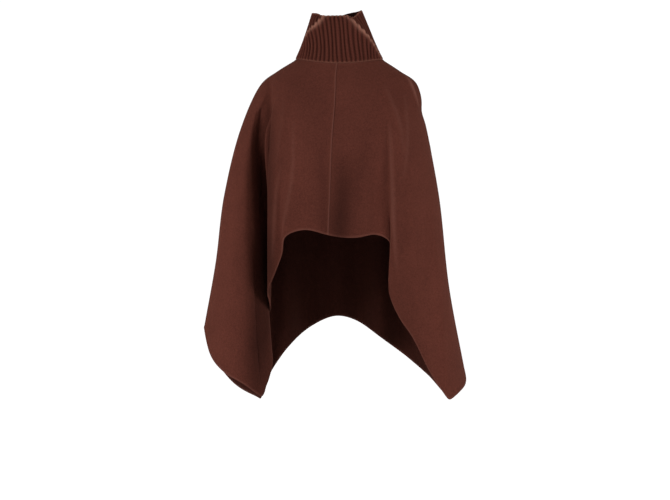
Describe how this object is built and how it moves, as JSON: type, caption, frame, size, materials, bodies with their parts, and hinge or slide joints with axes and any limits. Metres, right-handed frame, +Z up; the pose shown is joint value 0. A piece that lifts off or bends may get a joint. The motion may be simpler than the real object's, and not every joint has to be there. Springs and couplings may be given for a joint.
{
  "type": "wool poncho",
  "caption": "Worn wool poncho with a tall ribbed collar, a high front hem and long open sides that fall over the arms.",
  "frame": {"origin": "midway between the shoulders at the height of the neck seam's front, where the garment rests on its wearer", "axes": "+Z up, -Y out of the wearer's chest, +X towards the wearer's left arm"},
  "size_m": [0.6034, 0.3053, 0.9021],
  "materials": {
    "wool_cloth": "soft felted double-faced wool with a short nap, brown",
    "rib_knit": "thick wool rib knit, brown"
  },
  "bodies": {
    "root": {"front_right": "wool_cloth", "front_left": "wool_cloth", "back": "wool_cloth", "rib_collar": "rib_knit"}
  },
  "joints": []
}
